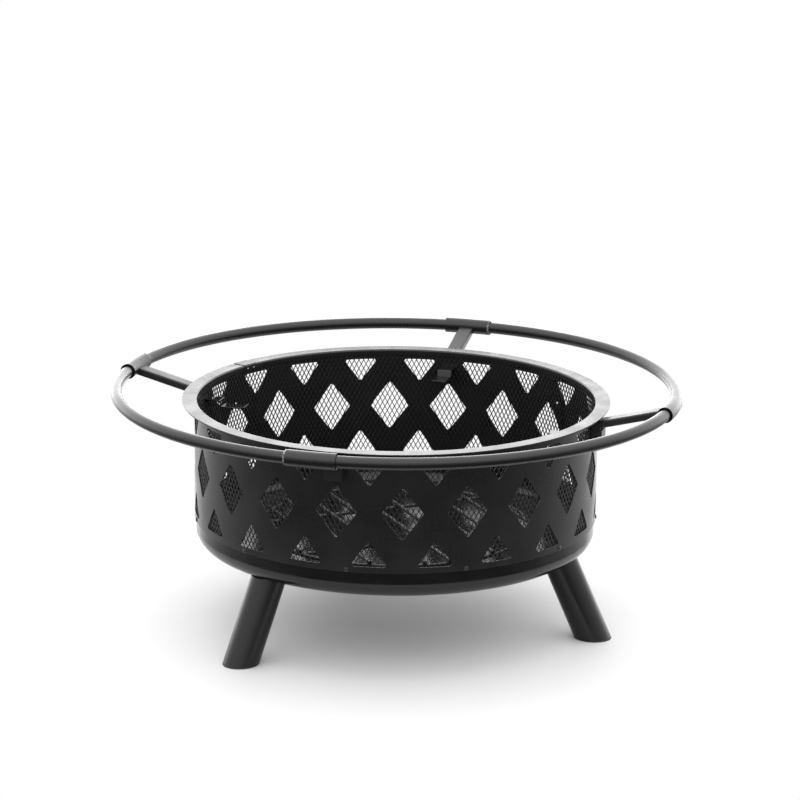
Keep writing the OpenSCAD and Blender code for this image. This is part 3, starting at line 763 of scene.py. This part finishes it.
# %% Arms, brackets, tabs
ARM_DROP, ARM_CORNER = 12.4 * MM, 2.5 * MM
arm_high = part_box("arm_right")[1]
bm = bmesh.new()
for seed, (name, turn) in enumerate(ARMS.items()):
    soften("arm_" + name, arm_paint, width=0.3 * MM)
    soften("bracket_" + name, arm_paint, width=0.4 * MM)
    soften("grate_tab_" + name, tab_paint, width=0.5 * MM)
    half_w, angle = arm_high.y - ARM_CORNER, turn * FULL
    out = polar(1, angle)
    across = polar(1, angle + math.pi / 2)
    wall_end = out * (WALL_R + 0.6 * MM) + Vector((0, 0, RIM_TOP - ARM_DROP))
    sleeve_end = out * arm_high.x + Vector((0, 0, arm_high.z - 0.4 * MM))
    for place in (wall_end, sleeve_end):
        reach = across * half_w
        bead_between(bm, place - reach, place + reach, FILLET, 3.1 * seed + place.z)
make_piece("arm_weld_fillets", bm, weld_paint)

# %% [markdown]
# ## Legs and feet
# A leg is a plain tube, cut level at the foot and to the dish at the top. A cylinder along the
# leg's axis is trimmed by two planes, which is how a saw would do it. The foot is a black polythene
# cap: only its sole shows below the tube.

# %% Legs
SPLAY = math.radians(24.4)
LEG_T, PLATE_T = 1.5 * MM, 3 * MM
UNCUT_LENGTH = 0.2
leg_low, leg_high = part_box("leg_right")
LEG_D = leg_high.y - leg_low.y
foot = next(m for m in frame["record"]["mounts"] if m["name"] == "foot_right")
FOOT_R = foot["pos_m"][0]
LEG_AXIS = Vector((-math.sin(SPLAY), 0, math.cos(SPLAY)))
LEG_TOP_R = FOOT_R - dish_z(DISH_EDGE_R) * math.tan(SPLAY)

for name, turn in {"right": 0, "back": 1 / 3, "front": 2 / 3}.items():
    bm = bmesh.new()
    foot_at = Vector((FOOT_R, 0, 0))
    add_rod(bm, foot_at - LEG_AXIS * LEG_D, foot_at + LEG_AXIS * UNCUT_LENGTH, LEG_D, sides=72,
            caps=False)
    top_at = Vector((LEG_TOP_R, 0, dish_z(LEG_TOP_R) - PLATE_T))
    facing_up = Vector((-LEG_TOP_R, 0, DISH_LOW + DISH_R - top_at.z))
    for place, away in ((Vector((0, 0, leg_low.z)), Vector((0, 0, -1))), (top_at, facing_up)):
        bmesh.ops.bisect_plane(bm, geom=everything(bm), dist=HAIR, plane_co=place, plane_no=away,
                               clear_outer=True)
    bmesh.ops.rotate(bm, verts=bm.verts, cent=CENTRE, matrix=Matrix.Rotation(turn * FULL, 3, "Z"))
    leg = make_piece("leg_tube_" + name, bm, leg_paint, ["leg_" + name])
    thicken(leg, LEG_T)
    round_edges(leg, 0.4 * MM)
    soften("leg_plate_" + name, leg_paint, width=0.6 * MM)
    soften("foot_cap_" + name, polythene, width=0.6 * MM)

# %% [markdown]
# ## Fasteners
# A screw head is turned, so it is a small spun outline. The eleven pan bolts have low domed heads
# outside the wall. The leg bolts' heads lie in the dish, and their nuts and washers are under it.

# %% Turned heads
def dome(bm, place, along, radius, height, shank=0.0, shank_r=0.0, rings=4, steps=20):
    """A low domed head that stands on a place, with an optional shank behind it."""
    head = bmesh.new()
    points = [(radius, 0)] + [(radius * math.cos(math.pi / 2 * i / rings) * 0.97,
                               height * (0.25 + 0.75 * math.sin(math.pi / 2 * i / rings)))
                              for i in range(rings + 1)]
    points[-1] = (0, height)
    if shank:
        points = [(0, -shank), (shank_r, -shank), (shank_r, 0)] + points
    else:
        points = [(0, 0)] + points
    draw_outline(head, points, closed=False)
    spin_round(head, steps)
    bmesh.ops.transform(head, matrix=frame_at(place, along), verts=head.verts)
    join(bm, head)


# %% Pan bolts and nuts
PAN_BOLTS, FIRST_BOLT = 11, math.radians(-87.1)
PAN_HEAD_H, PAN_SHANK = 2 * MM, 9 * MM
bolt_low, bolt_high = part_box("pan_bolts")
BOLT_Z = (bolt_low.z + bolt_high.z) / 2
BOLT_R = (bolt_high.z - bolt_low.z) / 2
bm = bmesh.new()
for i in range(PAN_BOLTS):
    angle = FIRST_BOLT + FULL * i / PAN_BOLTS
    seat = polar(WALL_R, angle, BOLT_Z)
    dome(bm, seat, polar(1, angle), BOLT_R, PAN_HEAD_H, PAN_SHANK, BOLT_R / 2)
make_piece("pan_bolt_heads", bm, bolt_paint, ["pan_bolts"])
soften("pan_nuts", bolt_paint, width=0.3 * MM)

# %% [markdown]
# Each leg plate takes two bolts, side by side, with their heads up inside the dish.

# %% Leg bolts, washers and nuts
bolt_low, bolt_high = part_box("leg_bolts")
HEAD_H, HEAD_R, SHANK_R = 3.5 * MM, 6 * MM, 3 * MM
BOLT_AT_R = bolt_high.x - HEAD_R
BOLT_PITCH = 28 * MM
bm = bmesh.new()
for k in range(3):
    for side in (-1, 1):
        place = Vector((BOLT_AT_R, side * BOLT_PITCH / 2, bolt_high.z - HEAD_H))
        place = Matrix.Rotation(FULL * k / 3, 3, "Z") @ place
        dome(bm, place, Z_AXIS, HEAD_R, HEAD_H, bolt_high.z - HEAD_H - bolt_low.z, SHANK_R, steps=24)
make_piece("leg_bolt_heads", bm, bolt_paint, ["leg_bolts"])
soften("leg_washers", bolt_paint, width=0.15 * MM)
soften("leg_nuts", bolt_paint, width=0.4 * MM)

# %% [markdown]
# Two rivets close the rim's lap, and one screw with a low head pins the mesh's lap to the wall.

# %% Rivets on the lap and the screw in the mesh
RIVET_R, RIVET_H = 1.5 * MM, 1 * MM
SCREW_HEAD_H, PAST_WALL = 2.6 * MM, 1 * MM
rivet_low, rivet_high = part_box("rim_rivets")
lap_centre = (LAP_LAST + LAP_FIRST) / 2
quarter = (LAP_LAST - LAP_FIRST) / 4
bm = bmesh.new()
for side in (-1, 1):
    angle = lap_centre + side * quarter
    seat = polar(LEG_IN_R - LAP_T, angle, (rivet_low.z + rivet_high.z) / 2)
    dome(bm, seat, -polar(1, angle), RIVET_R, RIVET_H, RIM_T + LAP_T, RIVET_R / 2)
make_piece("lap_rivets", bm, zinc, ["rim_rivets"])

bm = bmesh.new()
head_r = (screw_high.z - screw_low.z) / 2
seat = polar(MESH_R - MESH_T / 2, SCREW_ANGLE, SCREW.z)
screw_shank = MESH_T + WALL_T + PAST_WALL
dome(bm, seat, -polar(1, SCREW_ANGLE), head_r, SCREW_HEAD_H, screw_shank, head_r / 2)
make_piece("mesh_lap_screw", bm, zinc, ["mesh_screw"])

# %% [markdown]
# ## Wood grate
# The grate that holds the logs is welded from round rod: a ring, eleven bars laid across it, two
# cross bars under them and four short feet. A small squashed ball of weld joins each crossing.

# %% Wood grate
ring_low, ring_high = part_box("wood_grate_ring")
ROD = ring_high.z - ring_low.z
GRATE_R = ring_high.x - ROD / 2
GRATE_Z = (ring_high.z + ring_low.z) / 2
BAR_PITCH, BAR_ANGLE = 40 * MM, math.radians(129)
CROSS_AT, BAR_OVER = 90 * MM, 4 * MM
SPOT_R, SPOT_SQUASH = 3.6 * MM, 0.45
bar_count = int((GRATE_R - ROD) / BAR_PITCH)


def bar_point(along, across, z, turn=BAR_ANGLE):
    return Matrix.Rotation(turn, 3, "Z") @ Vector((along, across, z))


bm = bmesh.new()
upright = Matrix.Translation((GRATE_R, 0, GRATE_Z)) @ Matrix.Rotation(math.pi / 2, 4, "X")
bmesh.ops.create_circle(bm, segments=16, radius=ROD / 2, matrix=upright)
spin_round(bm, 120)
make_piece("grate_hoop", bm, rod_paint, ["wood_grate_ring"], GRATE)

bars, crosses, welds = bmesh.new(), bmesh.new(), bmesh.new()
blobs = []
for i in range(-bar_count, bar_count + 1):
    off = i * BAR_PITCH
    half = math.sqrt((GRATE_R + BAR_OVER) ** 2 - off ** 2)
    on_ring = math.sqrt(GRATE_R ** 2 - off ** 2)
    add_rod(bars, bar_point(-half, off, GRATE_Z + ROD), bar_point(half, off, GRATE_Z + ROD), ROD)
    blobs += [bar_point(side * on_ring, off, GRATE_Z + ROD / 2) for side in (-1, 1)]
    if on_ring > CROSS_AT:
        blobs += [bar_point(side * CROSS_AT, off, GRATE_Z + ROD / 2) for side in (-1, 1)]
for side in (-1, 1):
    half = math.sqrt((GRATE_R - ROD / 2) ** 2 - CROSS_AT ** 2)
    ends = [bar_point(s * half, side * CROSS_AT, GRATE_Z, BAR_ANGLE + math.pi / 2) for s in (-1, 1)]
    add_rod(crosses, *ends, ROD)
for k, place in enumerate(blobs):
    squashed = Matrix.Translation(place) @ Matrix.Diagonal((1, 1, SPOT_SQUASH, 1))
    ball = bmesh.ops.create_uvsphere(welds, u_segments=8, v_segments=5, radius=SPOT_R, matrix=squashed)
    lumpy(ball["verts"], 0.7 * k, 0.8 * MM, 3 * MM)
make_piece("grate_bars", bars, rod_paint, ["wood_grate_bars"], GRATE, bevel=0.8 * MM)
make_piece("grate_cross_bars", crosses, rod_paint, ["wood_grate_cross_bars"], GRATE)
make_piece("grate_weld_spots", welds, weld_paint, (), GRATE)
soften("wood_grate_feet", rod_paint, width=0.5 * MM, body=GRATE)
print(2 * bar_count + 1, "bars,", len(blobs), "welds")

# %% [markdown]
# ## Studio
# The floor is a plain pale disc. The light is a soft white room: bright low behind the object, so
# that the flat flange and the ring catch it, and dimmer on the camera's side, so that the front of
# the wall stays nearly black. The camera sees the room as plain white.

# %% Floor
FLOOR_R = 0.64
bm = bmesh.new()
bmesh.ops.create_circle(bm, cap_ends=True, segments=96, radius=FLOOR_R)
mesh = bpy.data.meshes.new("studio_floor")
bm.to_mesh(mesh)
bm.free()
floor = bpy.data.objects.new("studio_floor", mesh)
bpy.context.scene.collection.objects.link(floor)
pale, tree = new_material("pale_floor")
shader = add_node(tree, "ShaderNodeBsdfPrincipled", inputs={
    "Base Color": linear("#cfcfcf"), "Roughness": 0.7, "Specular IOR Level": 0.2})
add_node(tree, "ShaderNodeOutputMaterial", inputs={"Surface": shader.outputs["BSDF"]})
mesh.materials.append(pale)

# %% [markdown]
# The camera stands nearly five metres away with a long lens, which keeps the perspective weak, and
# looks down by about fifteen degrees, so that the rim and the ring show as flat ellipses.

# %% Camera
AZIMUTH, ELEVATION, DISTANCE = math.radians(16.04), math.radians(14.73), 4.776
LENS, SENSOR, ROLL = 134.67, 36, math.radians(0.5)
SHIFT_X, SHIFT_Y = 0.00475, -0.004
towards = Vector((math.sin(AZIMUTH) * math.cos(ELEVATION), -math.cos(AZIMUTH) * math.cos(ELEVATION),
                  math.sin(ELEVATION)))
lens = bpy.data.cameras.new("camera")
lens.lens = LENS
lens.sensor_width = SENSOR
lens.shift_x, lens.shift_y = SHIFT_X, SHIFT_Y
lens.clip_end = 100
camera = bpy.data.objects.new("camera", lens)
bpy.context.scene.collection.objects.link(camera)
aim = towards.to_track_quat("Z", "Y").to_matrix()
camera.rotation_euler = (aim @ Matrix.Rotation(ROLL, 3, "Z")).to_euler()
camera.location = Vector((0, 0, RIM_TOP)) + towards * DISTANCE
bpy.context.scene.camera = camera
print(f"camera {DISTANCE} m away with a {LENS} mm lens")

# %% [markdown]
# The room's brightness is a ramp from the far side to the camera's side, mixed with a ceiling and
# dimmed below the horizon. Rays that come straight from the camera see white instead.

# %% Room light
FRONT_LIGHT, SIDE_LIGHT, BACK_LIGHT = 0.4, 1.1, 5.2
TOP_LIGHT = 2.2
world = bpy.data.worlds.new("studio")
bpy.context.scene.world = world
world.use_nodes = True
tree = world.node_tree
tree.nodes.clear()
direction = add_node(tree, "ShaderNodeTexCoord").outputs["Generated"]
facing = add_node(tree, "ShaderNodeVectorMath", {"operation": "DOT_PRODUCT"})
tree.links.new(direction, facing.inputs[0])
facing.inputs[1].default_value = (math.sin(AZIMUTH), -math.cos(AZIMUTH), 0)
height = add_node(tree, "ShaderNodeSeparateXYZ", inputs={"Vector": direction}).outputs["Z"]
spread = add_node(tree, "ShaderNodeMapRange", inputs={
    "Value": facing.outputs["Value"], "From Min": -1.0, "From Max": 1.0})
ramp = add_node(tree, "ShaderNodeValToRGB", inputs={"Fac": spread.outputs["Result"]})
stops = (
    (0.0, BACK_LIGHT),
    (0.15, BACK_LIGHT * 0.5),
    (0.5, SIDE_LIGHT),
    (0.75, FRONT_LIGHT),
    (1.0, FRONT_LIGHT),
)
for place, _ in stops[1:-1]:
    ramp.color_ramp.elements.new(place)
for element, (place, value) in zip(ramp.color_ramp.elements, stops):
    element.position = place
    element.color = (value / BACK_LIGHT,) * 3 + (1,)
up = add_node(tree, "ShaderNodeMapRange", inputs={"Value": height, "From Min": 0.0, "From Max": 0.6})
down = add_node(tree, "ShaderNodeMapRange", inputs={
    "Value": height, "From Min": -0.35, "From Max": 0.0, "To Min": 0.2, "To Max": 1.0})
strength = add_node(tree, "ShaderNodeMath", {"operation": "MULTIPLY"})
tree.links.new(down.outputs["Result"], strength.inputs[0])
strength.inputs[1].default_value = BACK_LIGHT
room = add_node(tree, "ShaderNodeMix", {"data_type": "RGBA"})
tree.links.new(up.outputs["Result"], room.inputs["Factor"])
tree.links.new(ramp.outputs["Color"], room.inputs["A"])
room.inputs["B"].default_value = (TOP_LIGHT / BACK_LIGHT,) * 3 + (1,)
light_inputs = {"Color": room.outputs["Result"], "Strength": strength.outputs["Value"]}
light = add_node(tree, "ShaderNodeBackground", inputs=light_inputs)
white = add_node(tree, "ShaderNodeBackground", inputs={"Color": (1, 1, 1, 1), "Strength": 1.0})
path = add_node(tree, "ShaderNodeLightPath")
seen = add_node(tree, "ShaderNodeMixShader", inputs={"Fac": path.outputs["Is Camera Ray"]})
tree.links.new(light.outputs["Background"], seen.inputs[1])
tree.links.new(white.outputs["Background"], seen.inputs[2])
add_node(tree, "ShaderNodeOutputWorld", inputs={"Surface": seen.outputs["Shader"]})
bpy.context.scene.view_settings.view_transform = "Standard"
